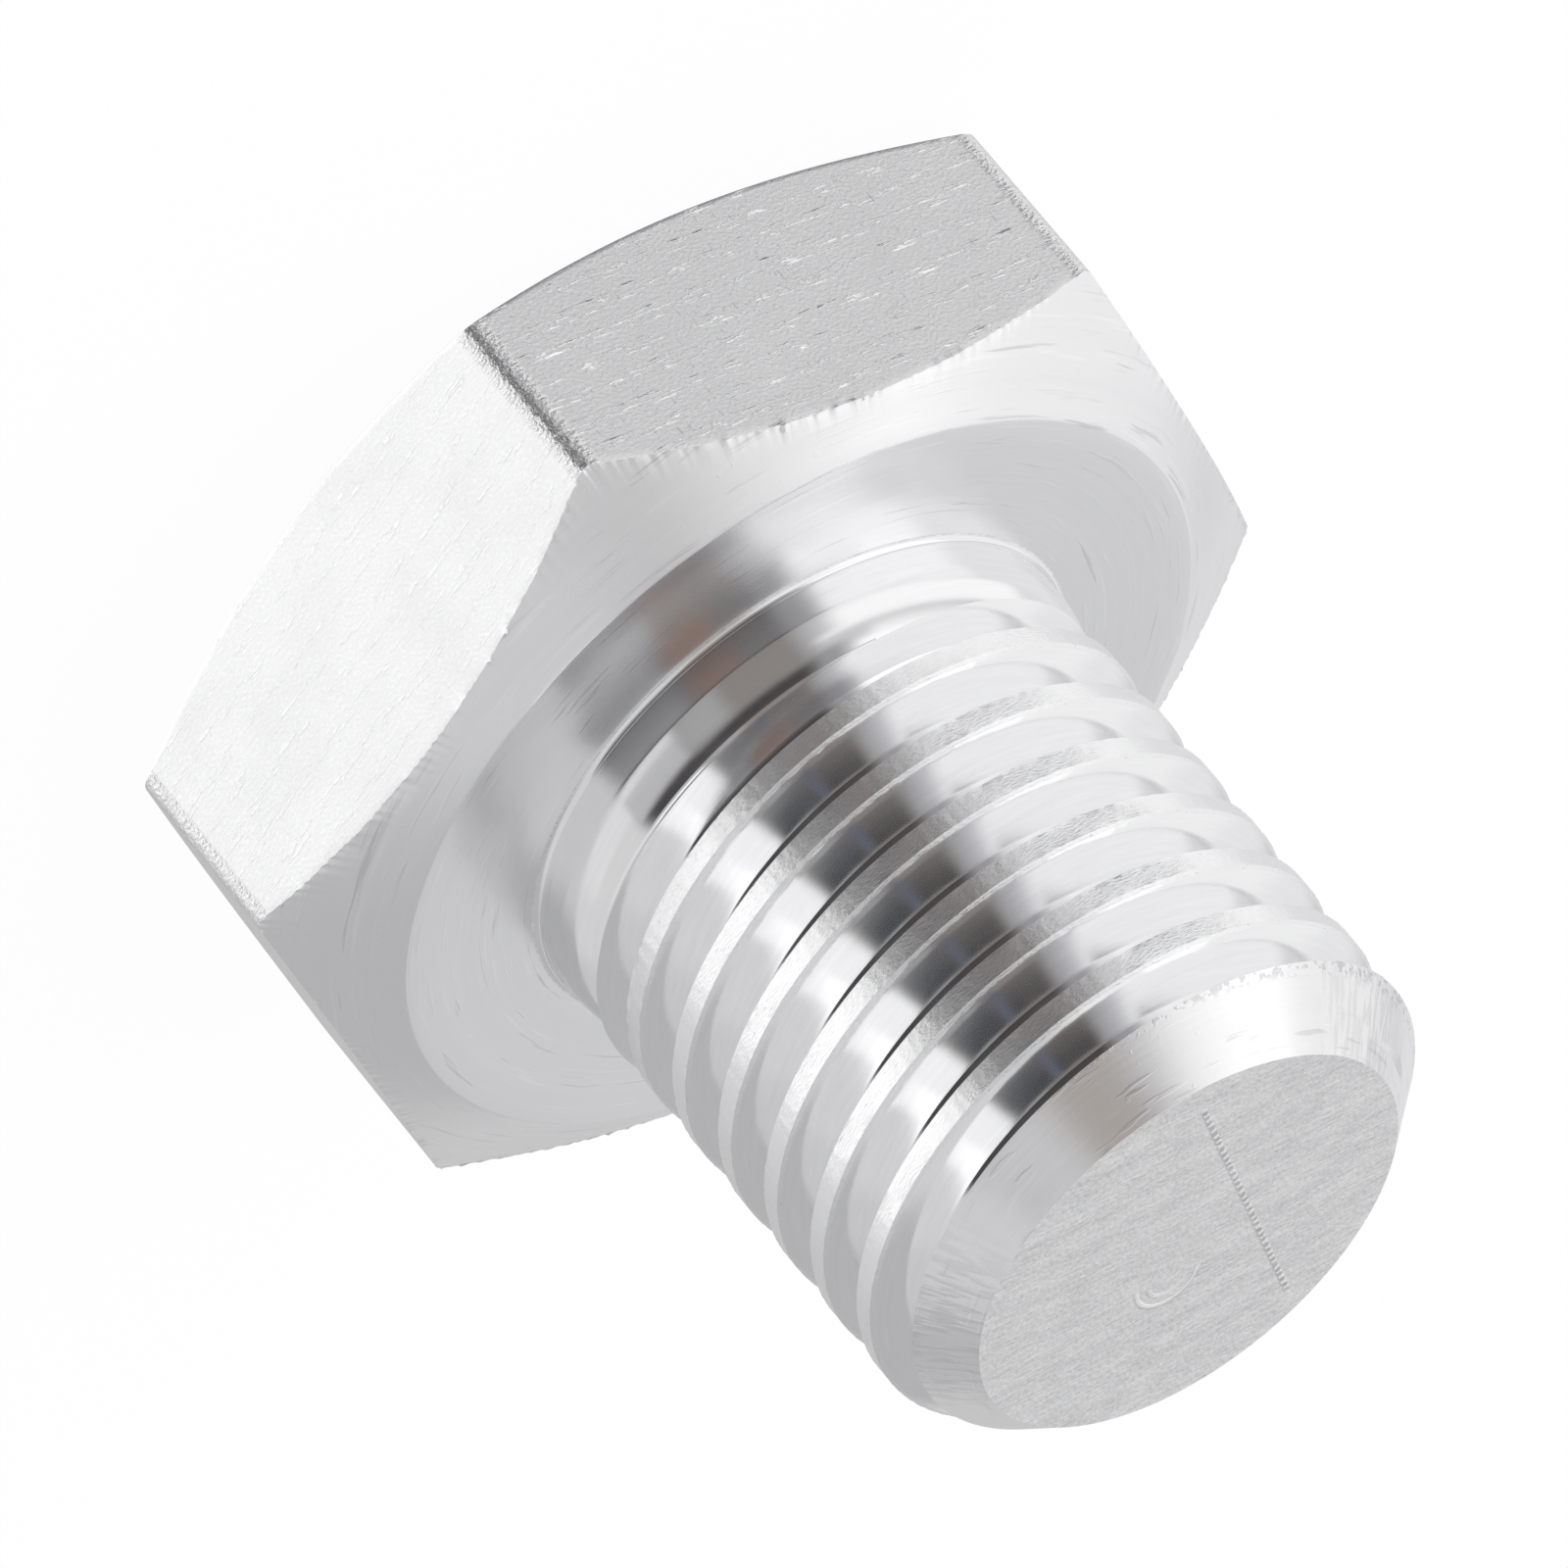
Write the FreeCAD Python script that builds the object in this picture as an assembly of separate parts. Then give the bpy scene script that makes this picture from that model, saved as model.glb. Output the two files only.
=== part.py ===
"""Cylinder head plug: one machined aluminium piece, a hexagon head with a threaded shank.

Millimetres. The plug stands on the outer face of its head. The origin is the centre of that
face, +Z runs along the shank to its end, and one hexagon corner lies on +X.
"""

import FreeCAD, Part
import math
import os

from FreeCAD import Vector

# Hexagon head
across_flats = 16.0          # spanner size
head_height = 5.0            # outer face to seat face
corner_radius = 0.3          # rounding on the six upright edges
outer_face_d = 15.6          # flat circle left on the outer face
outer_chamfer_deg = 25.0     # corner chamfer beside the outer face, from the face
seat_d = 14.4                # turned face that seats on the cylinder head
seat_chamfer_deg = 30.0      # corner chamfer beside the seat face, from the face

# Shank
shank_length = 10.5          # seat face to the end
crest_d = 9.6                # thread crests and plain neck
neck_fillet = 0.12           # where the neck meets the seat face
end_chamfer = 1.0            # 45 degree chamfer at the end

# Relief groove between the neck and the thread
neck_length = 0.6            # seat face to the start of the relief
relief_depth = 0.21          # below the crests
relief_slope = 0.6           # axial length of the curved entry
relief_floor = 0.2           # axial length of the bottom
relief_rise = 0.2            # axial length of the wall on the thread side

# Thread, M10 x 1.25, right-handed
pitch = 1.25
pitch_d = 9.1                # diameter where groove and ridge are equally wide
flank_deg = 30.0             # flank from a plane square to the axis
root_flat = 0.15             # width of the groove's bottom
groove_end_gap = 0.8         # seat face to the middle of the groove where it fades out
groove_end_deg = 83.0        # azimuth of that place
run_out_deg = 200.0          # angle over which the groove fades out
groove_piece_deg = 180.0     # the groove is cut in pieces of this angle
points_per_turn = 24         # of the curves along the groove

# Clearance of cutting solids past the surface they cut
overrun = 0.1


def revolved(points):
    """Solid of revolution about Z of a closed outline of (radius, height) points."""
    corners = [Vector(0, radius, height) for radius, height in points]
    face = Part.Face(Part.makePolygon(corners + corners[:1]))
    return face.revolve(Vector(0, 0, 0), Vector(0, 0, 1), 360)


def hexagon_bar():
    """Hexagon prism of the head's height with its upright edges rounded."""
    corner = across_flats / 2 / math.cos(math.pi / 6)
    angles = [math.radians(60 * step) for step in range(7)]
    outline = [Vector(corner * math.cos(a), corner * math.sin(a), 0) for a in angles]
    bar = Part.Face(Part.makePolygon(outline)).extrude(Vector(0, 0, head_height))
    uprights = [edge for edge in bar.Edges if abs(edge.tangentAt(edge.FirstParameter).z) > 0.9]
    return bar.makeFillet(corner_radius, uprights)


def head_envelope():
    """Solid of revolution that turns both corner chamfers on the hexagon."""
    reach = across_flats
    outer_radius = outer_face_d / 2
    seat_radius = seat_d / 2
    outer_drop = (reach - outer_radius) * math.tan(math.radians(outer_chamfer_deg))
    seat_drop = (reach - seat_radius) * math.tan(math.radians(seat_chamfer_deg))
    outer_cone = revolved([
        (0, 0),
        (outer_radius, 0),
        (reach, outer_drop),
        (reach, head_height + reach),
        (0, head_height + reach),
    ])
    seat_cone = revolved([
        (0, -reach),
        (reach, -reach),
        (reach, head_height - seat_drop),
        (seat_radius, head_height),
        (0, head_height),
    ])
    return outer_cone.common(seat_cone)


def shank_blank():
    """Turned shank before threading: fillet, neck, relief groove, plain length and end chamfer."""
    crest = crest_d / 2
    floor = crest - relief_depth
    tip = head_height + shank_length
    relief_start = head_height + neck_length
    slope_end = relief_start + relief_slope
    floor_end = slope_end + relief_floor
    rise_end = floor_end + relief_rise
    bulge = Vector(0, crest - relief_depth * 0.25, relief_start + relief_slope * 0.6)
    fillet_mid = neck_fillet * (1 - math.sqrt(0.5))

    def at(radius, height):
        return Vector(0, radius, height)

    base = at(0, head_height / 2)
    foot = at(crest + neck_fillet, head_height / 2)
    foot_top = at(crest + neck_fillet, head_height)
    neck_bottom = at(crest, head_height + neck_fillet)
    outline = [
        Part.LineSegment(base, foot),
        Part.LineSegment(foot, foot_top),
        Part.Arc(foot_top, at(crest + fillet_mid, head_height + fillet_mid), neck_bottom),
        Part.LineSegment(neck_bottom, at(crest, relief_start)),
        Part.Arc(at(crest, relief_start), bulge, at(floor, slope_end)),
        Part.LineSegment(at(floor, slope_end), at(floor, floor_end)),
        Part.LineSegment(at(floor, floor_end), at(crest, rise_end)),
        Part.LineSegment(at(crest, rise_end), at(crest, tip - end_chamfer)),
        Part.LineSegment(at(crest, tip - end_chamfer), at(crest - end_chamfer, tip)),
        Part.LineSegment(at(crest - end_chamfer, tip), at(0, tip)),
        Part.LineSegment(at(0, tip), base),
    ]
    wire = Part.Wire([curve.toShape() for curve in outline])
    return Part.Face(wire).revolve(Vector(0, 0, 0), Vector(0, 0, 1), 360)


def groove_lift(angle):
    """How far the groove is raised from full depth, at an angle in degrees past its end."""
    depth = crest_d / 2 - root_radius() + overrun / 2
    share = min(max(angle / run_out_deg, 0), 1)
    return depth * (1 + math.cos(math.pi * share)) / 2


def root_radius():
    """Radius of the groove's bottom, from the pitch diameter and the flank angle."""
    side = (pitch / 2 - root_flat) / 2
    return pitch_d / 2 - side / math.tan(math.radians(flank_deg))


def groove_curve(radius, offset, start, end):
    """Curve along the groove between two angles past its end, at a radius and axial offset."""
    steps = math.ceil((end - start) / 360 * points_per_turn)
    points = []
    for step in range(steps + 1):
        turned = start + (end - start) * step / steps
        azimuth = math.radians(groove_end_deg + turned)
        reach = radius + groove_lift(turned)
        height = head_height + groove_end_gap + pitch * turned / 360 + offset
        points.append(Vector(reach * math.cos(azimuth), reach * math.sin(azimuth), height))
    curve = Part.BSplineCurve()
    curve.interpolate(points)
    return curve.toShape()


def groove_piece(start, end):
    """Solid that cuts one stretch of the groove, with four ruled sides and two flat ends."""
    bottom = root_radius()
    top = crest_d / 2 + overrun
    half_bottom = root_flat / 2
    half_top = half_bottom + (top - bottom) * math.tan(math.radians(flank_deg))
    section = [(bottom, -half_bottom), (bottom, half_bottom), (top, half_top), (top, -half_top)]
    curves = [groove_curve(radius, offset, start, end) for radius, offset in section]
    faces = []
    for side, curve in enumerate(curves):
        faces.append(Part.makeRuledSurface(curve, curves[(side + 1) % len(curves)]))
    for bound in (0, 1):
        corners = [curve.valueAt(curve.ParameterRange[bound]) for curve in curves]
        faces.append(Part.Face(Part.makePolygon(corners + corners[:1])))
    shell = Part.Shell(faces)
    shell.sewShape()
    piece = Part.Solid(Part.Shell(shell.Faces))
    if piece.Volume < 0:
        piece.reverse()
    return piece


def threaded_shank():
    """Shank with the helical groove cut from its run-out beside the head to past the end."""
    shank = shank_blank()
    full_turn = 360
    last = (shank_length - groove_end_gap + pitch) / pitch * full_turn
    start = 0
    while start < last:
        end = min(start + groove_piece_deg, last)
        shank = shank.cut(groove_piece(start, end))
        start = end
    return shank


def plug():
    """The finished plug."""
    head = hexagon_bar().common(head_envelope())
    body = head.fuse(threaded_shank()).removeSplitter()
    return body.Solids[0]


os.makedirs("parts", exist_ok=True)
body = plug()
body.exportStep("parts/plug_body.step")
print("plug_body volume mm3", round(body.Volume, 3), "valid", body.isValid(), "faces", len(body.Faces))
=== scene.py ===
"""Looks of a cylinder head plug: one turned and milled aluminium piece.

Sizes in the classes are millimetres; meshes are written in metres in the part's own frame. The
plug stands on the outer face of its head, +Z runs along the shank, one hexagon corner is on +X.
"""

import logging
import math
from dataclasses import dataclass
from enum import Enum
from typing import Any, Callable, Sequence, Union

import bmesh
import bpy
import numpy as np
from mathutils import Matrix, Quaternion, Vector

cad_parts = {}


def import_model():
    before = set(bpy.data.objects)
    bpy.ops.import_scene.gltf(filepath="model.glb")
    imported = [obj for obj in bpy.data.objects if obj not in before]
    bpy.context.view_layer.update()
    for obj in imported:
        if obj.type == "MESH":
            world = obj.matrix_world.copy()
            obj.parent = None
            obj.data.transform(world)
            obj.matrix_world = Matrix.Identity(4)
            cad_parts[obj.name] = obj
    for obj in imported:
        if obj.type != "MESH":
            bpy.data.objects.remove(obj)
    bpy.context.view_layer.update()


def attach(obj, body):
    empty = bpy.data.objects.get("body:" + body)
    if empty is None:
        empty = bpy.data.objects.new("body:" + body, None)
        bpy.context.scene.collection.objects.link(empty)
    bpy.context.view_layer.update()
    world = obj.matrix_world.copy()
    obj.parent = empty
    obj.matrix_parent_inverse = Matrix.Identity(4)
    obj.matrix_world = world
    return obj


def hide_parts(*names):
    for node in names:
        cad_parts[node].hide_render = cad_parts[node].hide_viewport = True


MM = 0.001

log = logging.getLogger("plug")

# From column and row numbers of a grid to points in millimetres.
Place = Callable[[np.ndarray, np.ndarray], np.ndarray]


class Surface(Enum):
    """Kinds of machined surface, in the order of the material slots of a piece."""

    TURNED = 0
    CONE = 1
    FLAT = 2
    FLANK = 3
    CREST = 4
    CHAMFER = 5
    END = 6
    NECK = 7


class Field:
    """A number in a node tree, with arithmetic that adds Math nodes."""

    def __init__(self, graph: "Graph", socket: Any) -> None:
        """Wraps an output socket.

        Args:
            graph: the graph that holds the socket.
            socket: the output socket.
        """
        self.graph = graph
        self.socket = socket

    def calculate(self, operation: str, *values: Any) -> "Field":
        """Adds one Math node.

        Args:
            operation: name of the operation.
            values: its inputs, numbers or fields.

        Returns:
            The result.
        """
        inputs = {index: value for index, value in enumerate(values)}
        node = self.graph.node("ShaderNodeMath", {"operation": operation}, inputs)
        return Field(self.graph, node.outputs[0])

    def __add__(self, other: Any) -> "Field":
        """Returns this plus other."""
        return self.calculate("ADD", self, other)

    __radd__ = __add__

    def __sub__(self, other: Any) -> "Field":
        """Returns this minus other."""
        return self.calculate("SUBTRACT", self, other)

    def __rsub__(self, other: Any) -> "Field":
        """Returns other minus this."""
        return self.calculate("SUBTRACT", other, self)

    def __mul__(self, other: Any) -> "Field":
        """Returns this times other."""
        return self.calculate("MULTIPLY", self, other)

    __rmul__ = __mul__

    def sqrt(self) -> "Field":
        """Returns the square root."""
        return self.calculate("SQRT", self)

    def absolute(self) -> "Field":
        """Returns the absolute value."""
        return self.calculate("ABSOLUTE", self)

    def sine(self) -> "Field":
        """Returns the sine."""
        return self.calculate("SINE", self)

    def cosine(self) -> "Field":
        """Returns the cosine."""
        return self.calculate("COSINE", self)

    def arcsine(self) -> "Field":
        """Returns the arcsine."""
        return self.calculate("ARCSINE", self)

    def angle_to(self, x: "Field") -> "Field":
        """Returns the angle of (x, this) in radians.

        Args:
            x: the other coordinate.
        """
        return self.calculate("ARCTAN2", self, x)

    def above(self, low: float, high: float, level: Any = 1.0) -> "Field":
        """Adds a smooth step.

        Args:
            low: where the step starts from 0.
            high: where it reaches the level; below low, the step falls instead of rising.
            level: the level, a number or a field.

        Returns:
            0 before low, the level past high and a smooth change between.
        """
        node = self.graph.node(
            "ShaderNodeMapRange",
            {"interpolation_type": "SMOOTHSTEP"},
            {"Value": self, "From Min": low, "From Max": high, "To Min": 0.0, "To Max": level},
        )
        return Field(self.graph, node.outputs[0])

    def near(self, middle: float, half: float, soft: float, level: Any = 1.0) -> "Field":
        """Returns the level within half of middle, falling to 0 over soft beyond it."""
        return (self - middle).absolute().above(half + soft, half, level)


class Graph:
    """The node tree of one material or of the world."""

    def __init__(self, owner: Union[bpy.types.Material, bpy.types.World]) -> None:
        """Empties the owner's node tree.

        Args:
            owner: the material or world.
        """
        owner.use_nodes = True
        self.owner = owner
        self.tree = owner.node_tree
        self.tree.nodes.clear()
        kind = "World" if isinstance(owner, bpy.types.World) else "Material"
        self.output = self.node(f"ShaderNodeOutput{kind}", {}, {})

    @classmethod
    def material(cls, name: str) -> "Graph":
        """Returns the graph of a new material.

        Args:
            name: name of the material.
        """
        return cls(bpy.data.materials.new(name))

    def node(self, kind: str, settings: dict[str, Any], inputs: dict[Any, Any]) -> Any:
        """Adds a node.

        Args:
            kind: node type.
            settings: attributes of the node.
            inputs: socket name or index to a number, tuple, field or socket.

        Returns:
            The node.
        """
        made = self.tree.nodes.new(kind)
        for key, value in settings.items():
            setattr(made, key, value)
        for key, value in inputs.items():
            target = made.inputs[key]
            if isinstance(value, Field):
                self.tree.links.new(value.socket, target)
            elif isinstance(value, bpy.types.NodeSocket):
                self.tree.links.new(value, target)
            else:
                target.default_value = value
        return made

    def place(self) -> tuple[Field, Field, Field]:
        """Reads the object coordinates.

        Returns:
            x, y and z in millimetres.
        """
        coordinates = self.node("ShaderNodeTexCoord", {}, {})
        scaled = self.node(
            "ShaderNodeVectorMath",
            {"operation": "SCALE"},
            {0: coordinates.outputs["Object"], "Scale": 1.0 / MM},
        )
        parts = self.node("ShaderNodeSeparateXYZ", {}, {0: scaled.outputs[0]})
        return tuple(Field(self, output) for output in parts.outputs)

    def vector(self, x: Any, y: Any, z: Any) -> Any:
        """Returns the socket of a vector made of three numbers or fields."""
        return self.node("ShaderNodeCombineXYZ", {}, {0: x, 1: y, 2: z}).outputs[0]

    def noise(self, vector: Any, scale: float, detail: float, rough: float = 0.5) -> Field:
        """Adds a noise.

        Args:
            vector: socket of the place.
            scale: cells per unit of the place.
            detail: octaves.
            rough: strength of the finer octaves.

        Returns:
            The noise, of mean about 0.5.
        """
        made = self.node(
            "ShaderNodeTexNoise",
            {"noise_dimensions": "3D"},
            {"Vector": vector, "Scale": scale, "Detail": detail, "Roughness": rough},
        )
        return Field(self, made.outputs["Fac"])

    def tint(self, factor: Any, low: Sequence[float], high: Sequence[float]) -> Any:
        """Returns the socket of a colour mixed between two by a factor."""
        return self.mix(factor, (*low, 1.0), (*high, 1.0))

    def mix(self, factor: Any, first: Any, second: Any) -> Any:
        """Returns the socket of a mix of two colours, each a tuple or a socket."""
        made = self.node("ShaderNodeMix", {"data_type": "RGBA"}, {0: factor, 6: first, 7: second})
        return made.outputs[2]

    def bump(self, height: Field, depth: float) -> Any:
        """Adds a bump.

        Args:
            height: height field, about 0 to 1.
            depth: depth in millimetres of a height of 1.

        Returns:
            The socket of the normal.
        """
        made = self.node(
            "ShaderNodeBump", {}, {"Height": height, "Distance": depth * MM, "Strength": 1.0}
        )
        return made.outputs[0]

    def finish(self, shader: Any) -> Any:
        """Links the shader to the output and returns the material or world."""
        self.tree.links.new(shader.outputs[0], self.output.inputs["Surface"])
        return self.owner


@dataclass(frozen=True)
class Aluminium:
    """Bare bright aluminium, the same metal under every finish."""

    color: tuple[float, float, float] = (0.93, 0.93, 0.935)
    shade: tuple[float, float, float] = (0.85, 0.85, 0.86)
    scratch: tuple[float, float, float] = (0.50, 0.50, 0.52)

    def worn(self, graph: Graph, tone: Field, marks: Field) -> Any:
        """Mixes the metal's colour.

        Args:
            graph: the material's graph.
            tone: 0 for the shaded metal to 1 for the bright metal.
            marks: 1 where the surface is scratched dull.

        Returns:
            The socket of the colour.
        """
        plain = graph.tint(tone, self.shade, self.color)
        return graph.mix(marks, plain, (*self.scratch, 1.0))

    def shader(self, graph: Graph, inputs: dict[str, Any], spread: float, turn: float) -> Any:
        """Adds the metal's shader.

        Args:
            graph: the material's graph.
            inputs: sockets that vary over the surface.
            spread: how much the reflection is drawn out across the tool marks.
            turn: direction of the marks, as a part of a full turn.

        Returns:
            The shader node.
        """
        fixed = {"Metallic": 1.0, "Anisotropic": spread, "Anisotropic Rotation": turn}
        return graph.node("ShaderNodeBsdfPrincipled", {}, {**fixed, **inputs})


@dataclass(frozen=True)
class TurnedFinish:
    """Concentric turning marks on a face or a cone.

    Each chatter mark is a middle azimuth and a half width in degrees. Beyond torn_radius
    the edge is torn.
    """

    name: str
    roughness: float
    spread: float
    depth: float
    lines: float
    chatter: tuple[tuple[float, float], ...] = ()
    torn_radius: float = 99.0

    def build(self, metal: Aluminium) -> bpy.types.Material:
        """Makes the material.

        Args:
            metal: the bare metal.

        Returns:
            The material.
        """
        graph = Graph.material(self.name)
        x, y, z = graph.place()
        radius = (x * x + y * y).sqrt()
        angle = y.angle_to(x)
        ring = graph.vector(radius * self.lines, angle * 0.35, z * self.lines)
        marks = graph.noise(ring, 1.0, 3.0, 0.65)
        bands = graph.noise(graph.vector(radius * 2.2, angle * 0.25, z), 1.0, 2.0)
        patch = graph.noise(graph.vector(x, y, z), 0.7, 3.0)
        specks = graph.noise(graph.vector(x, y, z), 7.0, 1.0).above(0.72, 0.78)
        arcs = graph.noise(graph.vector(radius * 11.0, angle * 4.0, z + 3.0), 1.0, 2.0)
        height = marks + specks * 0.8 + arcs.above(0.60, 0.70) * 1.5
        worn = arcs.above(0.60, 0.70) * bands.above(0.45, 0.65) * 0.45
        glint = (1.0 - arcs).above(0.60, 0.70) * bands.above(0.45, 0.65)
        torn = graph.noise(graph.vector(angle * 40.0, radius * 14.0, z), 1.0, 2.0)
        torn = torn.above(0.52, 0.60) * radius.above(self.torn_radius, self.torn_radius + 0.12)
        height = height + torn * 2.0
        worn = worn + torn * 0.5
        for middle, half in self.chatter:
            ticks = graph.noise(graph.vector(angle * 36.0, radius * 2.0, z), 1.0, 2.0)
            ticks = ticks.above(0.42, 0.60) * (angle * (180 / math.pi)).near(middle, half, half)
            height = height + ticks * 2.4
            worn = worn + ticks * 0.22
        inputs = {
            "Base Color": metal.worn(graph, marks * 0.5 + bands * 0.5 + glint, worn),
            "Roughness": self.roughness + (patch - 0.5) * 0.10,
            "Normal": graph.bump(height, self.depth),
        }
        return graph.finish(metal.shader(graph, inputs, self.spread, 0.25))


@dataclass(frozen=True)
class MilledFinish:
    """Milled hexagon flats, with rows of torn marks, their colour lifted to white as a painted
    highlight, and short dark ticks.

    The reach turns azimuth in radians into millimetres along a flat. The flats round
    smoother_deg are marked less.
    """

    name: str = "milled_flats"
    roughness: float = 0.32
    reach: float = 8.0
    row_pitch: float = 0.50
    tone: float = 0.86
    # white that the torn dashes are painted towards: a painted highlight
    bright: tuple[float, float, float] = (1.0, 1.0, 1.0)
    smoother_deg: float = 30.0
    smoother_half_deg: float = 28.0
    depth: float = 0.006

    def build(self, metal: Aluminium) -> bpy.types.Material:
        """Makes the material.

        Args:
            metal: the bare metal.

        Returns:
            The material.
        """
        graph = Graph.material(self.name)
        x, y, z = graph.place()
        angle = y.angle_to(x)
        along = angle * self.reach
        grain = graph.noise(graph.vector(along * 16.0, z * 16.0, 0.0), 1.0, 2.0)
        sway = graph.noise(graph.vector(along * 0.25, z * 0.5, 7.0), 1.0, 2.0)
        rows = (z * (2 * math.pi / self.row_pitch) + sway * 9.0).cosine().above(-0.2, 0.9)
        torn = graph.noise(graph.vector(along * 2.4, z * 17.0, 3.0), 1.0, 3.0, 0.6)
        torn = torn.above(0.54, 0.64)
        where = graph.noise(graph.vector(along * 1.2, z * 1.2, 5.0), 1.0, 2.0).above(0.40, 0.60)
        ticks = graph.noise(graph.vector(along * 26.0, z * 4.0, 3.0), 1.0, 1.0).above(0.64, 0.72)
        patch = graph.noise(graph.vector(x, y, z), 0.8, 3.0)
        turn = angle * (180 / math.pi)
        marked = 1.0 - turn.near(self.smoother_deg, self.smoother_half_deg, 2.0) * 0.75
        corner = (angle * 3.0).cosine().absolute().above(0.9960, 0.9985)
        # torn dashes: real marks in the bump and roughness, a painted highlight in the colour
        torn_dashes_and_highlight = torn * rows * marked
        height = grain * 0.5 + torn_dashes_and_highlight * 1.3 + corner * grain * 4.0
        worn = ticks * where * marked
        plain = tuple(value * self.tone for value in metal.color)
        # painted highlight: the colour is lifted towards white along the torn dashes; the grain
        # adds a random tone
        bright = graph.tint(torn_dashes_and_highlight * 1.1 + (grain - 0.5) * 1.2, plain, self.bright)
        inputs = {
            "Base Color": graph.mix(worn * 0.6, bright, (*metal.scratch, 1.0)),
            "Roughness": self.roughness + (patch - 0.5) * 0.12 - torn_dashes_and_highlight * 0.15,
            "Normal": graph.bump(height, self.depth),
        }
        return graph.finish(metal.shader(graph, inputs, 0.2, 0.25))


@dataclass(frozen=True)
class ThreadFinish:
    """Thread flanks, crests and the plain neck, cut along the helix."""

    name: str
    roughness: float
    spread: float
    depth: float
    along: float
    across: float
    torn: float = 0.0

    def build(self, metal: Aluminium) -> bpy.types.Material:
        """Makes the material.

        Args:
            metal: the bare metal.

        Returns:
            The material.
        """
        graph = Graph.material(self.name)
        x, y, z = graph.place()
        radius = (x * x + y * y).sqrt()
        angle = y.angle_to(x)
        path = graph.vector(radius * self.across, angle * self.along, z * self.across)
        marks = graph.noise(path, 1.0, 3.0, 0.6)
        patch = graph.noise(graph.vector(x, y, z), 1.5, 3.0)
        flaw = marks.above(0.62, 0.72) * self.torn
        inputs = {
            "Base Color": metal.worn(graph, marks, flaw * 0.55),
            "Roughness": self.roughness + (patch - 0.5) * 0.10,
            "Normal": graph.bump(marks, self.depth),
        }
        return graph.finish(metal.shader(graph, inputs, self.spread, 0.25))


@dataclass(frozen=True)
class BrushedFinish:
    """Straight brushed end face, with one dotted tool track and a curl left at the middle."""

    name: str = "brushed_end"
    roughness: float = 0.30
    heading_deg: float = 67.5
    track_deg: float = 175.8
    track_offset: float = 1.047
    track_half: float = 2.9
    dot_pitch: float = 0.17
    low: tuple[float, float, float] = (0.56, 0.56, 0.57)
    high: tuple[float, float, float] = (1.0, 1.0, 1.0)
    curl_at: tuple[float, float] = (-0.5, 0.6)
    curl_radius: float = 0.55
    curl_deg: float = 155.0
    depth: float = 0.010

    def build(self, metal: Aluminium) -> bpy.types.Material:
        """Makes the material.

        Args:
            metal: the bare metal.

        Returns:
            The material.
        """
        graph = Graph.material(self.name)
        x, y, z = graph.place()
        along, across = self.turned(x, y, self.heading_deg)
        track, beside = self.turned(x, y, self.track_deg)
        marks = graph.noise(graph.vector(along * 2.2, across * 20.0, 0.0), 1.0, 4.0, 0.7)
        coarse = graph.noise(graph.vector(along * 0.8, across * 3.0, 4.0), 1.0, 2.0)
        grain = graph.noise(graph.vector(x * 14.0, y * 14.0, 8.0), 1.0, 2.0)
        patch = graph.noise(graph.vector(x, y, z), 1.0, 3.0)
        dots = (track * (2 * math.pi / self.dot_pitch) + (patch + coarse) * 6.0).sine()
        row = beside.near(self.track_offset, 0.03, 0.04) * track.near(0.0, self.track_half, 0.2)
        out_x, out_y = x - self.curl_at[0], y - self.curl_at[1]
        radius = (out_x * out_x + out_y * out_y).sqrt()
        turn, _ = self.turned(out_x, out_y, self.curl_deg)
        curl = radius.near(self.curl_radius, 0.02, 0.04) * turn.above(-0.1, 0.1)
        curl = curl + radius.near(self.curl_radius * 0.6, 0.02, 0.05) * turn.above(0.0, 0.1) * 0.5
        height = marks + grain * 0.8 + row * dots.above(-0.4, 0.4) * 1.6 + curl * 1.2
        tone = (marks - 0.5) * 1.6 + (coarse - 0.5) * 0.6 + (grain - 0.5) * 1.0 + 0.68
        tone = tone + row * (dots.above(-0.2, 0.2) * 1.2 - 0.6) + curl * 0.5
        inputs = {
            "Base Color": graph.tint(tone, self.low, self.high),
            "Roughness": self.roughness + (patch - 0.5) * 0.10,
            "Normal": graph.bump(height, self.depth),
        }
        return graph.finish(metal.shader(graph, inputs, 0.0, 0.0))

    def turned(self, x: Field, y: Field, heading_deg: float) -> tuple[Field, Field]:
        """Turns the coordinates to a heading.

        Args:
            x: first coordinate.
            y: second coordinate.
            heading_deg: the heading from +X.

        Returns:
            The coordinates along and across the heading.
        """
        heading = math.radians(heading_deg)
        along = x * math.cos(heading) + y * math.sin(heading)
        across = y * math.cos(heading) - x * math.sin(heading)
        return along, across


def surface_materials(metal: Aluminium) -> list[bpy.types.Material]:
    """Makes one material for each kind of surface, in the order of Surface.

    Args:
        metal: the bare metal.

    Returns:
        The materials.
    """
    finishes = {
        Surface.TURNED: TurnedFinish("turned_seat", 0.18, 0.8, 0.0010, 12.0),
        Surface.CONE: TurnedFinish("turned_cone", 0.28, 0.6, 0.0015, 9.0),
        Surface.FLAT: MilledFinish(),
        Surface.FLANK: ThreadFinish("thread_flank", 0.10, 0.2, 0.0002, 3.0, 12.0),
        Surface.CREST: ThreadFinish("thread_crest", 0.26, 0.0, 0.006, 45.0, 30.0, 1.0),
        Surface.CHAMFER: TurnedFinish(
            "turned_chamfer", 0.26, 0.5, 0.0015, 10.0, ((66.0, 18.0), (-74.0, 10.0)), 4.60
        ),
        Surface.END: BrushedFinish(),
        Surface.NECK: ThreadFinish("turned_neck", 0.12, 0.4, 0.0003, 1.0, 12.0),
    }
    return [finishes[kind].build(metal) for kind in Surface]


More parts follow.
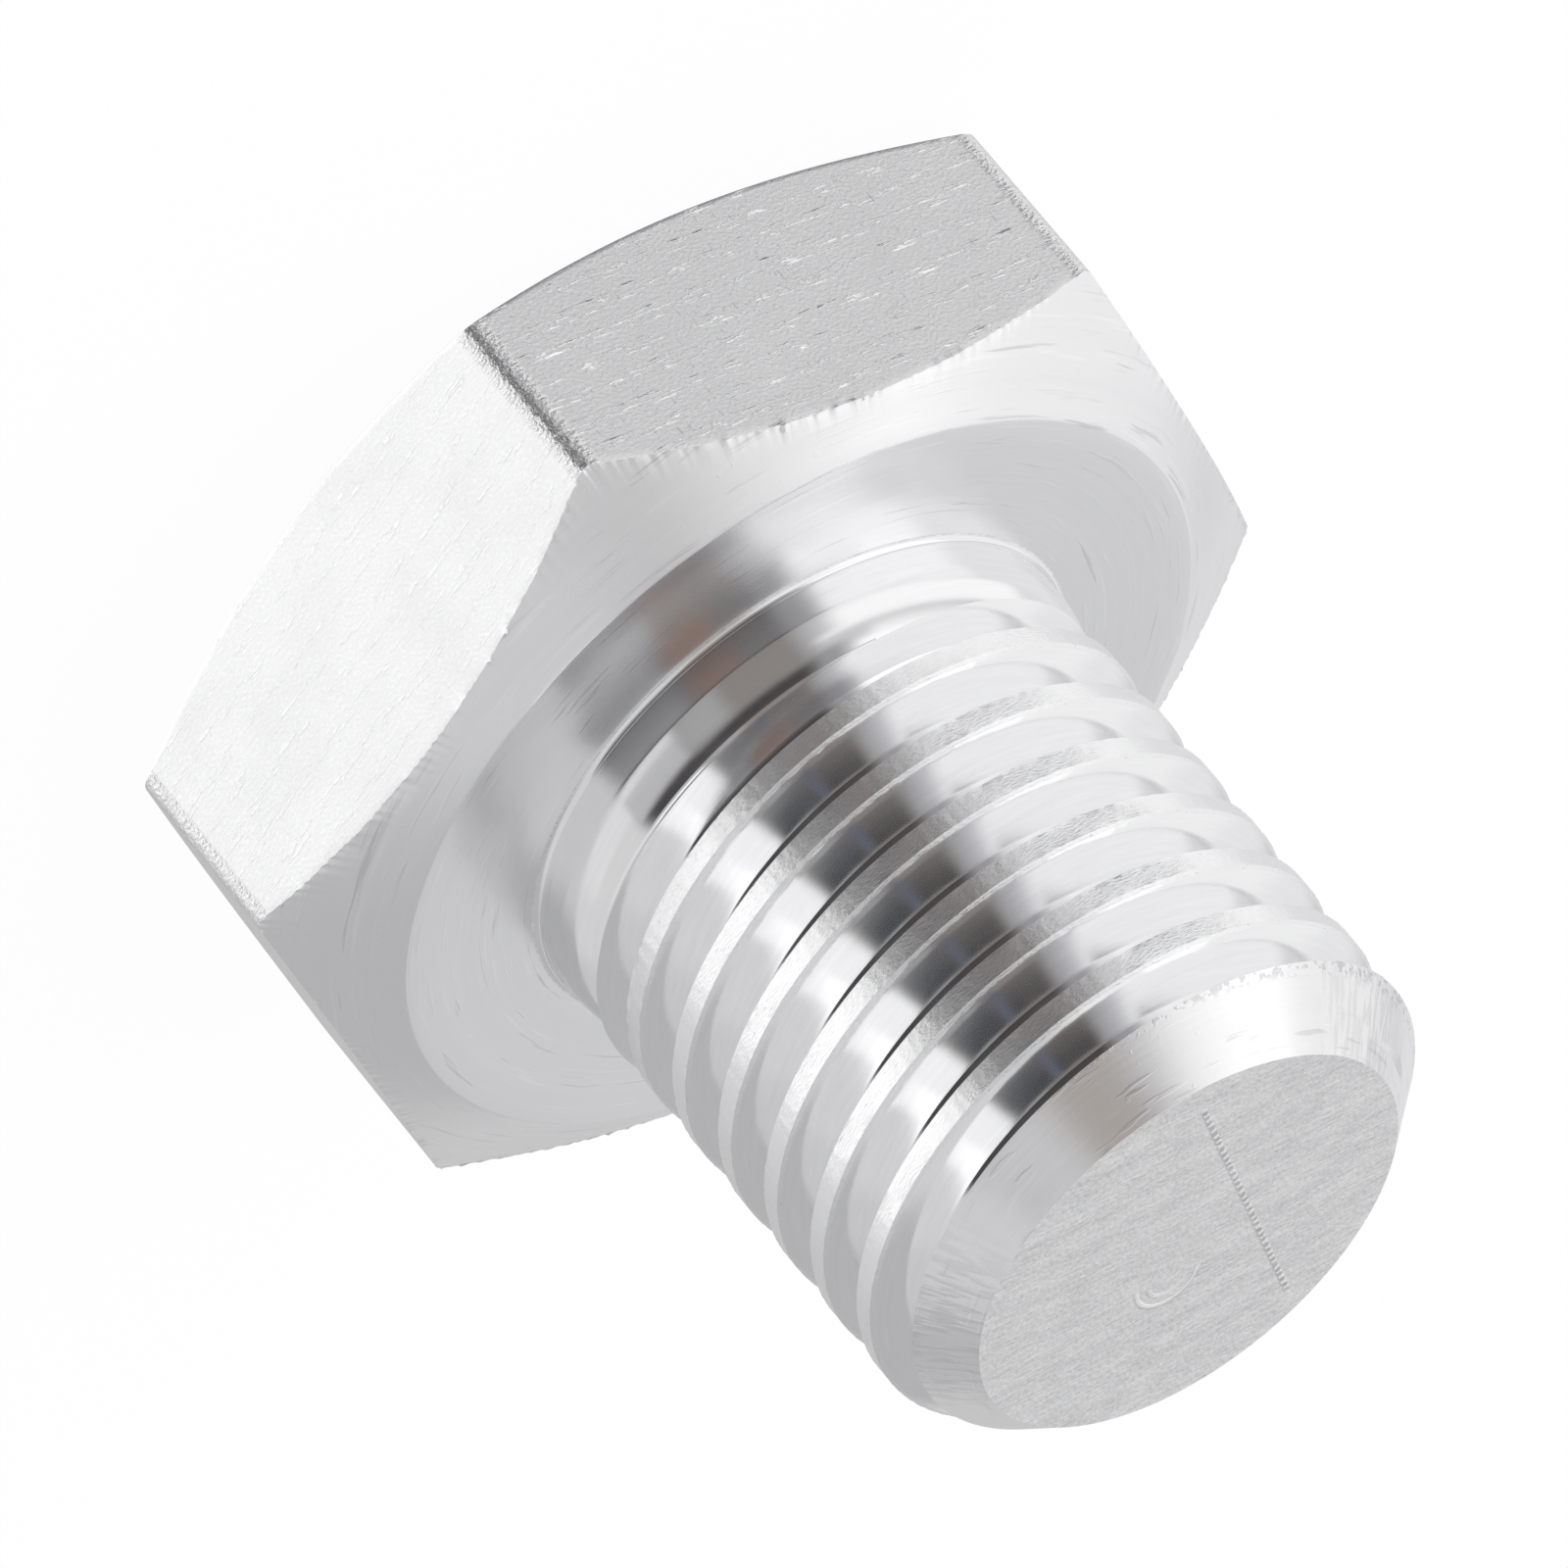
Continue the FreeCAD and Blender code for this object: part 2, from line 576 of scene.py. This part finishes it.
def grid_mesh(columns: int, rows: int, place: Place) -> bmesh.types.BMesh:
    """Makes a grid and moves each of its corners to a place.

    Args:
        columns: cells in the first direction.
        rows: cells in the second direction.
        place: takes column and row numbers, returns points in millimetres.

    Returns:
        The open mesh, in millimetres.
    """
    bm = bmesh.new()
    bmesh.ops.create_grid(bm, x_segments=columns, y_segments=rows, size=1.0)
    flat = np.array([vert.co[:] for vert in bm.verts])
    column = np.rint((flat[:, 0] + 1) / 2 * columns).astype(int)
    row = np.rint((flat[:, 1] + 1) / 2 * rows).astype(int)
    points = place(column, row)
    for vert, point in zip(bm.verts, points):
        vert.co = point
    return bm


def finished_mesh(bm: bmesh.types.BMesh, name: str) -> bpy.types.Object:
    """Turns a mesh's faces outwards, takes it to metres and makes it an object.

    Args:
        bm: the mesh in millimetres, which is freed.
        name: name of the object.

    Returns:
        The object.
    """
    bmesh.ops.recalc_face_normals(bm, faces=bm.faces)
    bmesh.ops.scale(bm, vec=Vector((MM, MM, MM)), verts=bm.verts)
    mesh = bpy.data.meshes.new(name)
    bm.to_mesh(mesh)
    bm.free()
    made = bpy.data.objects.new(name, mesh)
    bpy.context.scene.collection.objects.link(made)
    return made


def shade(obj: bpy.types.Object, sharp_deg: float) -> None:
    """Shades smooth, with edges over an angle kept sharp.

    Args:
        obj: the object.
        sharp_deg: the angle.
    """
    obj.data.shade_smooth()
    obj.data.set_sharp_from_angle(angle=math.radians(sharp_deg))


def polar(radius: Any, angle: Any, height: Any) -> np.ndarray:
    """Returns points from cylindrical coordinates, angle in radians."""
    return np.stack([radius * np.cos(angle), radius * np.sin(angle), height + 0 * angle], axis=-1)


def wander(angle: np.ndarray, seed: int, count: int, low: int, high: int) -> np.ndarray:
    """Smooth seeded noise round a full turn, of about unit size.

    Args:
        angle: angles in radians.
        seed: seed of the noise.
        count: number of waves.
        low: fewest periods in a turn.
        high: most periods in a turn.

    Returns:
        The noise.
    """
    rng = np.random.default_rng(seed)
    total = np.zeros_like(angle, dtype=float)
    for _ in range(count):
        total += np.sin(rng.integers(low, high) * angle + rng.uniform(0, 2 * math.pi))
    return total / math.sqrt(count)


@dataclass
class HexagonHead:
    """Hexagon head with a corner chamfer on both faces and a turned seat."""

    across_flats: float = 16.0
    height: float = 5.0
    corner_radius: float = 0.3
    outer_face_d: float = 15.6
    outer_chamfer_deg: float = 25.0
    seat_d: float = 14.4
    seat_chamfer_deg: float = 30.0
    edge: float = 0.025
    fine_burr: float = 0.010
    long_burr: float = 0.006
    lump: float = 0.05
    sharp_deg: float = 35.0
    flat_columns: int = 150
    corner_columns: int = 10

    def azimuths(self) -> np.ndarray:
        """Spaces the mesh's columns, closely round the rounded corners.

        Returns:
            The azimuths in radians, once round with the first repeated at the end.
        """
        corner = self.across_flats / 2 / math.cos(math.pi / 6)
        centre = corner - self.corner_radius / math.cos(math.pi / 6)
        reach = centre + self.corner_radius * math.cos(math.pi / 6)
        tangent = math.atan2(self.corner_radius / 2, reach)
        near = np.linspace(-tangent, tangent, self.corner_columns, endpoint=False)
        flat = np.linspace(tangent, math.pi / 3 - tangent, self.flat_columns, endpoint=False)
        sector = np.concatenate([near, flat])
        turns = np.concatenate([sector + step * math.pi / 3 for step in range(6)])
        return np.append(turns, turns[0] + 2 * math.pi)

    def side(self, angle: np.ndarray) -> np.ndarray:
        """Works out the hexagon's outline with rounded corners.

        Args:
            angle: azimuths in radians.

        Returns:
            The outline's radius at each azimuth.
        """
        local = (angle + math.pi / 6) % (math.pi / 3) - math.pi / 6
        straight = self.across_flats / 2 / np.cos(math.pi / 6 - np.abs(local))
        centre = (self.across_flats / 2 - self.corner_radius) / math.cos(math.pi / 6)
        inside = self.corner_radius**2 - (centre * np.sin(local)) ** 2
        rounded = centre * np.cos(local) + np.sqrt(np.maximum(inside, 0))
        reach = centre + self.corner_radius * math.cos(math.pi / 6)
        tangent = math.atan2(self.corner_radius / 2, reach)
        return np.where(np.abs(local) < tangent, rounded, straight)

    def build(self) -> bpy.types.Object:
        """Makes the head.

        Returns:
            The object.
        """
        azimuth = self.azimuths()
        side = self.side(azimuth)
        seat = self.seat_d / 2
        face = self.outer_face_d / 2
        rise = math.tan(math.radians(self.seat_chamfer_deg))
        fall = math.tan(math.radians(self.outer_chamfer_deg))
        top = self.height - (side - seat) * rise
        low = (side - face) * fall
        burr = self.fine_burr * wander(azimuth, 5, 14, 60, 420)
        burr = burr + self.long_burr * wander(azimuth, 6, 8, 12, 60)
        lump = self.lump * np.clip(wander(azimuth, 9, 16, 40, 400) - 0.9, 0, 0.8)
        clean = top
        top = top + burr + lump * 0.6
        e = self.edge
        zero = 0 * azimuth
        rings: list[tuple[Any, Any]] = [(zero, zero)]
        rings += [(zero + r, zero) for r in (2.0, 4.0, 6.0, face - e)]
        rings += [(zero + face, zero + e * 0.1)]
        rings += [(face + e, zero + e * fall), (side - e, low - e * fall)]
        rings += [(side - 0.2 * e, low + 0.2 * e), (side, low + e)]
        rings += [(side, low + 4 * e)]
        rings += [(side, low + (clean - low) * share) for share in (0.2, 0.4, 0.6, 0.8)]
        rings += [(side, clean - 6 * e), (side + lump * 0.1, top - 2 * e)]
        rings += [(side + lump * 0.5 - 0.1 * e, top - 0.3 * e), (side - 0.6 * e, top)]
        rings += [(side - 2 * e, top + 1.6 * e * rise), (side - 5 * e, clean + 5 * e * rise)]
        outer = side - 5 * e
        for share in (0.25, 0.5, 0.75):
            r = outer + (seat + e - outer) * share
            rings.append((r, self.height - (r - seat) * rise))
        rings += [(zero + seat + e, zero + self.height - e * rise)]
        rings += [(zero + seat, zero + self.height - e * 0.12)]
        rings += [(zero + seat - e, zero + self.height)]
        rings += [(zero + r, zero + self.height) for r in (6.6, 6.0, 5.4, 4.8, 3.0)]
        rings += [(zero, zero + self.height)]
        radii = np.stack([ring[0] + zero for ring in rings])
        heights = np.stack([ring[1] + zero for ring in rings])

        def place(column: np.ndarray, row: np.ndarray) -> np.ndarray:
            """Places grid corners on the head."""
            return polar(radii[row, column], azimuth[column], heights[row, column])

        bm = grid_mesh(len(azimuth) - 1, len(rings) - 1, place)
        bmesh.ops.remove_doubles(bm, verts=bm.verts, dist=1e-5)
        made = finished_mesh(bm, "plug_head")
        shade(made, self.sharp_deg)
        log.info("head: %d faces", len(made.data.polygons))
        return made

    def paint(self, obj: bpy.types.Object) -> None:
        """Gives each face its kind of surface.

        Args:
            obj: the head.
        """
        for polygon in obj.data.polygons:
            tilt = abs(polygon.normal.z)
            if tilt > 0.95:
                kind = Surface.TURNED
            elif tilt > 0.2:
                kind = Surface.CONE
            else:
                kind = Surface.FLAT
            polygon.material_index = kind.value


@dataclass
class ThreadedShank:
    """Shank with neck, relief, a right-handed thread and an end chamfer."""

    base: float = 5.0
    length: float = 10.5
    crest_d: float = 9.6
    fillet: float = 0.12
    end_chamfer: float = 1.0
    neck: float = 0.6
    relief_depth: float = 0.21
    relief_slope: float = 0.75
    relief_floor: float = 0.05
    relief_rise: float = 0.2
    relief_start: float = 0.54
    relief_curve: float = 2.75
    pitch: float = 1.25
    pitch_d: float = 9.1
    flank_deg: float = 30.0
    root_flat: float = 0.07
    groove_gap: float = 0.8
    groove_deg: float = 83.0
    run_out_deg: float = 200.0
    root_climb: float = 0.02
    cover_reach: float = 0.55
    cover: float = 0.2
    margin: float = 0.4
    overhang: float = 3.5
    burr: float = 0.003
    bulge: float = 0.0039
    lean: float = 0.0157
    sharp_deg: float = 33.0
    columns: int = 450

    @property
    def crest(self) -> float:
        """Radius of the crests."""
        return self.crest_d / 2

    @property
    def root(self) -> float:
        """Radius of the groove's bottom."""
        side = (self.pitch / 2 - self.root_flat) / 2
        return self.pitch_d / 2 - side / math.tan(math.radians(self.flank_deg))

    @property
    def tip(self) -> float:
        """Height of the end face."""
        return self.base + self.length

    def envelope(self) -> bpy.types.Object:
        """Makes the turned outline that bounds the thread.

        Returns:
            A closed solid of revolution.
        """
        crest, base = self.crest, self.base
        outline: list[tuple[float, float]] = [(0.0, base - 0.1), (crest + self.fillet, base - 0.1)]
        for step in range(7):
            turn = math.pi / 2 * step / 6
            outline.append((
                crest + self.fillet * (1 - math.sin(turn)),
                base + self.fillet * (1 - math.cos(turn)),
            ))
        start = base + self.neck
        outline.append((crest, start - 0.02))
        for step in range(25):
            share = step / 24
            drop = self.relief_depth * (
                self.relief_start * share + (1 - self.relief_start) * share**self.relief_curve
            )
            outline.append((crest - drop, start + self.relief_slope * share))
        floor_end = start + self.relief_slope + self.relief_floor
        outline.append((crest - self.relief_depth, floor_end))
        slope = self.relief_depth / self.relief_rise
        outline.append((crest + self.margin, floor_end + (self.relief_depth + self.margin) / slope))
        outline.append((crest + self.margin, self.tip - self.end_chamfer - self.margin))
        outline.append((crest - self.end_chamfer, self.tip))
        outline.append((0.0, self.tip))
        shape = np.array(outline)
        angle = np.linspace(0, 2 * math.pi, self.columns + 1)

        def place(column: np.ndarray, row: np.ndarray) -> np.ndarray:
            """Places grid corners on the outline."""
            return polar(shape[row, 0], angle[column], shape[row, 1])

        bm = grid_mesh(self.columns, len(shape) - 1, place)
        bmesh.ops.remove_doubles(bm, verts=bm.verts, dist=1e-5)
        return finished_mesh(bm, "shank_envelope")

    def groove_lift(self, turned: np.ndarray) -> np.ndarray:
        """How far the groove is raised from full depth.

        Args:
            turned: degrees past the groove's end.

        Returns:
            The lift in millimetres.
        """
        share = np.clip(turned / self.run_out_deg, 0, 1)
        return (self.crest - self.root + 0.05) * (1 + np.cos(math.pi * share)) / 2

    def section(self) -> list[tuple[float, float, float]]:
        """Corners of one pitch of the thread, from groove middle to groove middle.

        Returns:
            For each corner: its place from the groove's bottom at 0 to the crest at 1, the
            flank's axial place at that height, and the part of the crest's width passed.
        """
        flank = [0.05, 0.15, 0.35, 0.55, 0.75, 0.92]
        crown = [0.02, 0.12, 0.35, 0.60, 0.85, 0.98]
        rising = [(climb, climb, 0.0) for climb in flank]
        falling = [(climb, climb, 1.0) for climb in reversed(flank)]
        top = [(1.0, 1.0, share) for share in crown]
        return [(self.root_climb, 0.0, 0.0), (0.0, 0.004, 0.0), *rising, *top, *falling]

    def helix(self) -> bpy.types.Object:
        """Makes the threaded rod before it is cut to length.

        Returns:
            A closed solid.
        """
        nodes = np.array(self.section())
        per_pitch = len(nodes)
        first = -2
        last = math.ceil(self.length / self.pitch) + 2
        count = (last - first) * per_pitch
        angle = np.linspace(0, 2 * math.pi, self.columns + 1)
        slope = math.tan(math.radians(self.flank_deg))
        rng = np.random.default_rng(11)
        burr = np.clip(rng.normal(size=(2, self.columns * (last - first + 1) + 1)), -2, 2)

        def place(column: np.ndarray, row: np.ndarray) -> np.ndarray:
            """Places grid corners on the thread.

            Args:
                column: column numbers, round the axis.
                row: row numbers, along it.

            Returns:
                The points.
            """
            number, node = np.divmod(row, per_pitch)
            number = number + first
            azimuth = angle[column]
            turned = np.degrees(azimuth) - self.groove_deg + 360 * number
            climb, shift, passed = nodes[node].T
            lift = self.groove_lift(turned + np.where(passed >= 0.5, 360, 0))
            middle = self.base + self.groove_gap + self.pitch * turned / 360
            covered = middle < self.base + self.neck + self.cover_reach
            top = self.crest + np.where(covered, self.cover, 0.0)
            bottom = np.minimum(self.root + lift, top - 0.01)
            depth = top - bottom
            half = self.root_flat / 2
            bulge = self.bulge * 4 * climb * (1 - climb) + self.lean * climb
            rising = half * (shift > 0) + depth * slope * shift - bulge
            width = self.pitch - 2 * (half + depth * slope) + 2 * self.lean
            z_rise = middle + rising + width * passed * (climb > 0.99)
            z_fall = middle + self.pitch - rising
            z = np.where(passed == 1.0, z_fall, z_rise)
            torn = burr[:, column + self.columns * (number - first)]
            crown = (climb > 0.98) & ~covered
            rim = crown & ((passed < 0.1) | (passed > 0.9))
            burred = np.where(rim, torn[0], np.where(crown, 0.4 * torn[1], 0)) * self.burr
            return polar(bottom + depth * climb + burred, azimuth, z)

        bm = grid_mesh(self.columns, count, place)
        bmesh.ops.remove_doubles(bm, verts=bm.verts, dist=1e-5)
        self.close(bm)
        return finished_mesh(bm, "thread_rod")

    def close(self, bm: bmesh.types.BMesh) -> None:
        """Closes both open ends of the rod with flat caps.

        Args:
            bm: the rod's mesh in millimetres.
        """
        rim = [edge for edge in bm.edges if edge.is_boundary]
        middle = self.base + self.length / 2
        for lower in (True, False):
            loop = [e for e in rim if (e.verts[0].co.z < middle) == lower]
            grown = bmesh.ops.extrude_edge_only(bm, edges=loop)["geom"]
            level = self.base - self.overhang if lower else self.tip + self.overhang
            for vert in (item for item in grown if isinstance(item, bmesh.types.BMVert)):
                vert.co.z = level
            edges = [item for item in grown if isinstance(item, bmesh.types.BMEdge)]
            edges = [edge for edge in edges if edge.is_boundary]
            bmesh.ops.contextual_create(bm, geom=edges)

    def build(self) -> bpy.types.Object:
        """Makes the shank: the threaded rod cut to the turned outline.

        Returns:
            The object.
        """
        rod = self.helix()
        outline = self.envelope()
        cut = rod.modifiers.new("outline", "BOOLEAN")
        cut.operation = "INTERSECT"
        cut.solver = "MANIFOLD"
        cut.object = outline
        graph = bpy.context.evaluated_depsgraph_get()
        mesh = bpy.data.meshes.new_from_object(rod.evaluated_get(graph))
        mesh.materials.clear()
        bm = bmesh.new()
        bm.from_mesh(mesh)
        bmesh.ops.recalc_face_normals(bm, faces=bm.faces)
        bm.to_mesh(mesh)
        bm.free()
        made = bpy.data.objects.new("plug_shank", mesh)
        bpy.context.scene.collection.objects.link(made)
        for spare in (rod, outline):
            bpy.data.objects.remove(spare)
        shade(made, self.sharp_deg)
        log.info("shank: %d faces", len(made.data.polygons))
        return made

    def paint(self, obj: bpy.types.Object) -> None:
        """Gives each face its kind of surface.

        Args:
            obj: the shank.
        """
        relief_end = self.base + self.neck + self.relief_slope + self.relief_floor
        for polygon in obj.data.polygons:
            normal, centre = polygon.normal, polygon.center / MM
            radius = math.hypot(centre.x, centre.y)
            cone = self.crest + self.tip - self.end_chamfer - centre.z
            if normal.z > 0.95:
                kind = Surface.END
            elif abs(radius - cone) < 0.01 and normal.z > 0.6:
                kind = Surface.CHAMFER
            elif radius > self.crest - 0.04 and centre.z > relief_end:
                kind = Surface.CREST
            elif centre.z < relief_end and abs(normal.z) < 0.45:
                kind = Surface.NECK
            else:
                kind = Surface.FLANK
            polygon.material_index = kind.value


@dataclass(frozen=True)
class Patch:
    """A soft-edged stretch of the studio that the metal mirrors, in degrees from the camera."""

    azimuth: tuple[float, float]
    elevation: tuple[float, float]
    soft: tuple[float, float]
    tone: tuple[float, float, float]

    def mask(self, azimuth: Field, elevation: Field) -> Field:
        """Masks the patch.

        Args:
            azimuth: azimuth field in degrees.
            elevation: elevation field in degrees.

        Returns:
            1 inside the patch and 0 outside.
        """
        inside: Any = 1.0
        spans = ((azimuth, self.azimuth), (elevation, self.elevation))
        for (value, (low, high)), soft in zip(spans, self.soft):
            inside = value.near((high + low) / 2, (high - low - soft) / 2, soft, inside)
        return inside


@dataclass
class Studio:
    """White floor and a pale room with reflectors, a window and the dark camera side."""

    camera_azimuth: float = 2.7165
    upper: tuple[float, float, float] = (0.64, 0.64, 0.65)
    lower: tuple[float, float, float] = (1.02, 1.02, 1.02)
    floor_size: float = 6000.0
    floor_tone: float = 0.92
    floor_glow: float = 1.03
    floor_share: float = 0.92
    lamp_distance: float = 300.0
    patches: tuple[Patch, ...] = (
        # walls
        Patch((20, 140), (14, 90), (16, 14), (0.69, 0.69, 0.70)),
        Patch((30, 190), (-8, 24), (14, 8), (0.70, 0.70, 0.70)),
        Patch((110, 168), (4, 62), (24, 14), (0.49, 0.49, 0.495)),
        Patch((-172, -134), (8, 70), (22, 14), (0.86, 0.86, 0.87)),
        # table on the window's side
        Patch((-190, -118), (-60, -2), (12, 6), (0.80, 0.80, 0.81)),
        Patch((-118, -36), (-60, -2), (12, 6), (1.05, 1.05, 1.05)),
        # window
        Patch((-145, -53), (4, 78), (8, 12), (0.95, 0.95, 0.95)),
        Patch((-104, -46), (12, 40), (8, 8), (1.13, 1.13, 1.13)),
        # dim side of the room behind the camera
        Patch((-37, 11), (46, 74), (9, 12), (0.42, 0.38, 0.345)),
        Patch((-42, 56), (6, 52), (10, 8), (0.34, 0.34, 0.35)),
        Patch((-30, 16), (6, 52), (12, 8), (0.215, 0.207, 0.210)),
        Patch((-10, 12), (24, 46), (10, 8), (0.29, 0.20, 0.165)),
        Patch((-28, 54), (-2, 25), (10, 14), (0.060, 0.056, 0.056)),
        # table on the far side from the window
        Patch((40, 190), (-80, -2), (14, 4), (0.60, 0.60, 0.605)),
        Patch((40, 122), (-80, -2), (20, 4), (0.70, 0.70, 0.71)),
        Patch((40, 92), (-80, -2), (16, 4), (0.78, 0.78, 0.785)),
        # cards beside the camera
        Patch((-42, -26), (-80, -4), (12, 6), (0.56, 0.56, 0.58)),
        Patch((22, 55), (-80, -4), (5, 4), (1.12, 1.12, 1.12)),
        Patch((44, 92), (-80, -28), (5, 3), (1.40, 1.40, 1.40)),
        Patch((24, 56), (-13, 8), (3, 6), (0.52, 0.52, 0.53)),
        Patch((-100, -47), (-64, -34), (6, 5), (0.12, 0.12, 0.14)),
        # camera and its stand
        Patch((-33, 24), (-80, 8), (10, 12), (0.38, 0.375, 0.375)),
        Patch((-27, 24), (-80, 8), (7, 12), (0.27, 0.25, 0.235)),
        Patch((5, 24), (-80, 8), (9, 12), (0.39, 0.39, 0.39)),
        Patch((-26, 23), (-80, -32.5), (7, 8), (0.078, 0.075, 0.076)),
        Patch((4, 23), (-80, -32.5), (6, 8), (0.070, 0.075, 0.083)),
        Patch((-4.5, 0.0), (-80, -26), (4, 14), (0.14, 0.155, 0.20)),
    )

    def direction(self, azimuth: float, elevation: float) -> Vector:
        """Points into the room.

        Args:
            azimuth: turn from the camera's side, in degrees.
            elevation: height above the horizon, in degrees.

        Returns:
            The unit vector.
        """
        a = math.radians(azimuth + self.camera_azimuth)
        e = math.radians(elevation)
        return Vector((math.cos(a) * math.cos(e), math.sin(a) * math.cos(e), math.sin(e)))

    def world(self) -> None:
        """Paints the room that lights the plug and that it mirrors; the camera sees it white."""
        graph = Graph(bpy.data.worlds.new("studio_room"))
        coordinates = graph.node("ShaderNodeTexCoord", {}, {})
        turn = -math.radians(self.camera_azimuth)
        turned = graph.node(
            "ShaderNodeVectorRotate",
            {"rotation_type": "Z_AXIS"},
            {"Vector": coordinates.outputs["Generated"], "Angle": turn},
        )
        parts = graph.node("ShaderNodeSeparateXYZ", {}, {0: turned.outputs[0]})
        x, y, z = (Field(graph, output) for output in parts.outputs)
        azimuth = y.angle_to(x) * (180 / math.pi)
        elevation = z.arcsine() * (180 / math.pi)
        color = graph.tint(elevation.above(-4.0, 0.0), self.lower, self.upper)
        for patch in self.patches:
            color = graph.mix(patch.mask(azimuth, elevation), color, (*patch.tone, 1.0))
        path = graph.node("ShaderNodeLightPath", {}, {})
        seen = graph.mix(path.outputs["Is Camera Ray"], color, (1.0, 1.0, 1.0, 1.0))
        room = graph.node("ShaderNodeBackground", {}, {"Color": seen, "Strength": 1.0})
        bpy.context.scene.world = graph.finish(room)

    def floor(self) -> None:
        """Makes the white floor, which keeps the shadow; the metal mirrors the room instead."""
        bm = bmesh.new()
        bmesh.ops.create_grid(bm, x_segments=1, y_segments=1, size=self.floor_size / 2)
        made = finished_mesh(bm, "floor")
        graph = Graph.material("white_floor")
        path = graph.node("ShaderNodeLightPath", {}, {})
        seen = Field(graph, path.outputs["Is Camera Ray"])
        seen = seen + Field(graph, path.outputs["Is Transmission Ray"])
        plain = (self.floor_tone, self.floor_tone, self.floor_tone, 1.0)
        paper = graph.node("ShaderNodeBsdfDiffuse", {}, {"Color": plain})
        white = {"Color": (1.0, 1.0, 1.0, 1.0), "Strength": self.floor_glow}
        glow = graph.node("ShaderNodeEmission", {}, white)
        share = seen.above(0.0, 1.0) * self.floor_share
        both = graph.node(
            "ShaderNodeMixShader", {}, {0: share, 1: paper.outputs[0], 2: glow.outputs[0]}
        )
        made.data.materials.append(graph.finish(both))
        made.visible_glossy = False

    def lamp(self, name: str, azimuth: float, elevation: float, size: float, level: float) -> None:
        """Makes a square soft box that faces the plug.

        Args:
            name: name of the lamp.
            azimuth: turn from the camera's side, in degrees.
            elevation: height above the horizon.
            size: width, in millimetres.
            level: brightness of its face, where 1 is white.
        """
        data = bpy.data.lights.new(name, "AREA")
        data.shape = "SQUARE"
        data.size = size * MM
        data.energy = 4 * data.size**2 * level
        made = bpy.data.objects.new(name, data)
        back = self.direction(azimuth, elevation)
        made.location = back * self.lamp_distance * MM
        made.rotation_mode = "QUATERNION"
        made.rotation_quaternion = back.to_track_quat("Z", "Y")
        made.visible_camera = False
        bpy.context.scene.collection.objects.link(made)

    def build(self) -> None:
        """Makes the whole studio."""
        self.world()
        self.floor()
        self.lamp("key_softbox", -95.0, 50.0, 150.0, 0.15)
        log.info("studio ready")


@dataclass
class PhotoCamera:
    """Camera that stands where the photograph was taken from.

    The turn is an axis times an angle, from the plug's frame to the camera's, and the shift
    is the plug's origin as the camera sees it.
    """

    turn: tuple[float, float, float] = (-0.9524, 1.9091, 0.4974)
    shift_mm: tuple[float, float, float] = (-2.4979, -3.4677, 317.2666)
    focal_px: float = 21071.05
    picture_px: float = 1600.0
    sensor: float = 36.0

    def build(self) -> None:
        """Makes the camera and gives it to the scene."""
        vector = Vector(self.turn)
        rotation = Quaternion(vector.normalized(), vector.length).to_matrix()
        flip = Matrix(((1, 0, 0), (0, -1, 0), (0, 0, -1)))
        data = bpy.data.cameras.new("photo_camera")
        data.sensor_width = self.sensor
        data.lens = self.focal_px * self.sensor / self.picture_px
        data.clip_start = 0.01
        data.clip_end = 20.0
        made = bpy.data.objects.new("photo_camera", data)
        place = (rotation.transposed() @ flip).to_4x4()
        place.translation = rotation.transposed() @ Vector(self.shift_mm) * -MM
        made.matrix_world = place
        bpy.context.scene.collection.objects.link(made)
        bpy.context.scene.camera = made
        log.info("camera ready")


def main() -> None:
    """Builds the plug's looks, the studio and the camera."""
    logging.basicConfig(level=logging.INFO, format="%(name)s: %(message)s")
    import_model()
    bpy.context.scene.view_settings.view_transform = "Standard"
    materials = surface_materials(Aluminium())
    for part in (HexagonHead(), ThreadedShank()):
        piece = part.build()
        for material in materials:
            piece.data.materials.append(material)
        part.paint(piece)
        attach(piece, "root")
        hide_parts("plug_body")
    Studio().build()
    PhotoCamera().build()


if __name__ == "__main__":
    main()
